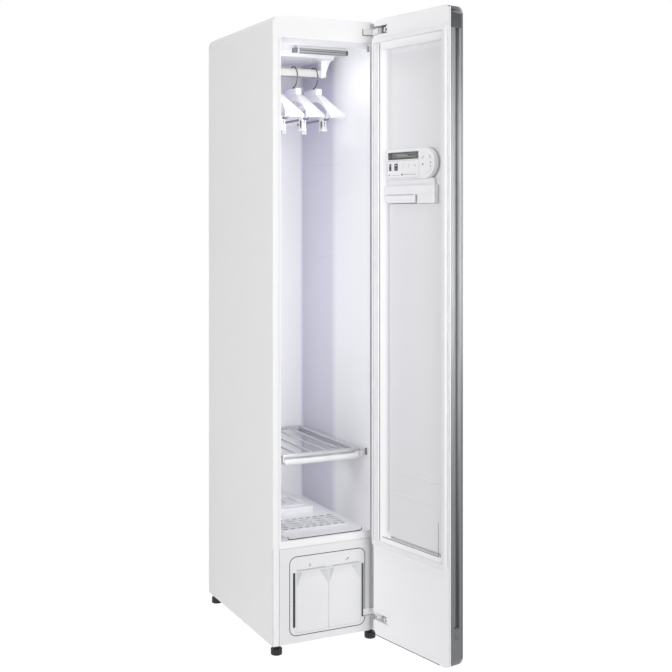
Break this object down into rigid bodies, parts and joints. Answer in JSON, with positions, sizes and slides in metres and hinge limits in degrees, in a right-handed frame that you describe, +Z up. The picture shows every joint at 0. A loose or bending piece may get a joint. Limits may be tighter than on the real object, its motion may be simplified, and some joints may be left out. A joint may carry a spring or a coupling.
{
  "type": "clothes care steam cabinet",
  "caption": "Tall slim clothes steaming cabinet with a full-height hinged door, shaking hanger bar, wire shelf and pull-out water tanks.",
  "frame": {"origin": "middle of the sole of the front left levelling foot, on the floor", "axes": "+Z up, +X to the right of a person facing the door side, front of the cabinet towards -Y"},
  "size_m": [0.4154, 0.9166, 1.85],
  "materials": {
    "white_coat": "satin white powder coat",
    "zinc_sheet": "galvanised sheet, dull",
    "zinc_steel": "zinc plated",
    "liner_plastic": "moulded, fine satin",
    "white_plastic": "moulded, semi gloss",
    "foam": "insulation filling, matt",
    "dark_plastic": "moulded, fine grain",
    "grey_plastic": "moulded, fine grain",
    "lamp_metal": "brushed",
    "clear_plastic": "frosted diffuser",
    "rack_coat": "plastic coated wire, satin",
    "chrome_wire": "polished",
    "seal_rubber": "soft white seal",
    "hose_rubber": "soft moulded",
    "edge_metal": "brushed, dark satin",
    "front_glass": "tinted mirror glass, back painted",
    "display_glass": "smoked window",
    "black_coat": "black paint",
    "fin_aluminium": "mill finish",
    "stainless": "pressed stainless",
    "board": "circuit board with parts"
  },
  "bodies": {
    "cabinet": {"outer_case": "white_coat", "back_panel": "zinc_sheet", "base_pan": "zinc_sheet", "front_frame": "white_coat", "inner_liner": "liner_plastic", "foam_jacket": "foam", "case_screws": "zinc_steel", "levelling_feet": "dark_plastic", "cavity_floor": "liner_plastic", "steam_grille": "liner_plastic", "lamp_bar": "lamp_metal", "lamp_lens": "clear_plastic", "drive_cover": "white_plastic", "drive_motor": "zinc_steel", "door_sensor": "grey_plastic", "lower_panel": "white_coat", "bay_bezel": "white_plastic", "tank_bay": "white_plastic", "side_grille": "grey_plastic", "compressor": "black_coat", "heat_exchanger": "fin_aluminium", "blower_housing": "grey_plastic", "steam_generator": "stainless", "water_pumps": "dark_plastic", "machine_pipes": "hose_rubber", "control_board": "board", "power_inlet": "dark_plastic", "hinge_brackets": "white_coat"},
    "carriage": {"carriage": "white_plastic", "hanging_bar": "white_plastic"},
    "crank": {"crank_disc": "zinc_steel"},
    "blower": {"blower_wheel": "dark_plastic"},
    "shelf": {"shelf_rack": "rack_coat"},
    "fill_tank_body": {"fill_tank": "white_plastic", "fill_tank_cap": "hose_rubber"},
    "drain_tank_body": {"drain_tank": "white_plastic", "drain_tank_cap": "hose_rubber"},
    "filter": {"lint_filter": "grey_plastic"},
    "door": {"door_edge_frame": "edge_metal", "door_front_panel": "front_glass", "door_foam": "foam", "door_liner": "liner_plastic", "door_gasket": "seal_rubber", "control_panel": "white_plastic", "display_window": "display_glass", "clamp_block": "white_plastic"},
    "lever": {"clamp_lever": "white_plastic"},
    "press": {"press_plate": "liner_plastic"},
    "power_key_cap": {"power_key": "dark_plastic"},
    "start_key_cap": {"start_key": "dark_plastic"},
    "select_pad_cap": {"select_pad": "white_plastic"},
    "hanger_1_body": {"hanger_1": "white_plastic", "hanger_hook_1": "chrome_wire", "hanger_clips_1": "white_plastic"},
    "hanger_2_body": {"hanger_2": "white_plastic", "hanger_hook_2": "chrome_wire", "hanger_clips_2": "white_plastic"},
    "hanger_3_body": {"hanger_3": "white_plastic", "hanger_hook_3": "chrome_wire", "hanger_clips_3": "white_plastic"}
  },
  "joints": [
    {"name": "door_swing", "type": "hinge", "parent": "cabinet", "child": "door", "pos_m": [0.317, -0.051, 0], "axis": [0, 0, 1], "range_deg": [-100, 15]},
    {"name": "carriage_shake", "type": "slide", "parent": "cabinet", "child": "carriage", "axis": [1, 0, 0], "range_m": [-0.008, 0.008]},
    {"name": "crank_turn", "type": "hinge", "parent": "cabinet", "child": "crank", "pos_m": [0.153, 0.2, 0], "axis": [0, 0, 1], "continuous": true},
    {"name": "blower_turn", "type": "hinge", "parent": "cabinet", "child": "blower", "pos_m": [0, 0.283, 0.1245], "axis": [1, 0, 0], "continuous": true},
    {"name": "hanger_1_swing", "type": "hinge", "parent": "carriage", "child": "hanger_1_body", "pos_m": [0.07, 0.2, 1.728], "axis": [1, 0, 0], "range_deg": [-8, 8]},
    {"name": "hanger_2_swing", "type": "hinge", "parent": "carriage", "child": "hanger_2_body", "pos_m": [0.139, 0.2, 1.728], "axis": [1, 0, 0], "range_deg": [-8, 8]},
    {"name": "hanger_3_swing", "type": "hinge", "parent": "carriage", "child": "hanger_3_body", "pos_m": [0.208, 0.2, 1.728], "axis": [1, 0, 0], "range_deg": [-8, 8]},
    {"name": "shelf_slide", "type": "slide", "parent": "cabinet", "child": "shelf", "axis": [0, -1, 0], "range_m": [0, 0.25]},
    {"name": "fill_tank_slide", "type": "slide", "parent": "cabinet", "child": "fill_tank_body", "axis": [0, -1, 0], "range_m": [0, 0.19]},
    {"name": "drain_tank_slide", "type": "slide", "parent": "cabinet", "child": "drain_tank_body", "axis": [0, -1, 0], "range_m": [0, 0.19]},
    {"name": "lint_filter_lift", "type": "slide", "parent": "cabinet", "child": "filter", "axis": [0, 0, 1], "range_m": [0, 0.08]},
    {"name": "power_key_press", "type": "slide", "parent": "door", "child": "power_key_cap", "axis": [0.9848, 0.1736, 0], "range_m": [0, 0.0008], "stiffness_N_per_m": 400},
    {"name": "start_key_press", "type": "slide", "parent": "door", "child": "start_key_cap", "axis": [0.9848, 0.1736, 0], "range_m": [0, 0.0008], "stiffness_N_per_m": 400},
    {"name": "select_pad_press", "type": "slide", "parent": "door", "child": "select_pad_cap", "axis": [0.9848, 0.1736, 0], "range_m": [0, 0.0008], "stiffness_N_per_m": 400},
    {"name": "clamp_lever_turn", "type": "hinge", "parent": "door", "child": "lever", "pos_m": [0.30712, -0.10148, 1.3268], "axis": [-0.1736, 0.9848, 0], "range_deg": [0, 70]},
    {"name": "press_plate_swing", "type": "hinge", "parent": "door", "child": "press", "pos_m": [0.31786, -0.10771, 0.7], "axis": [0, 0, -1], "range_deg": [0, 30]}
  ]
}
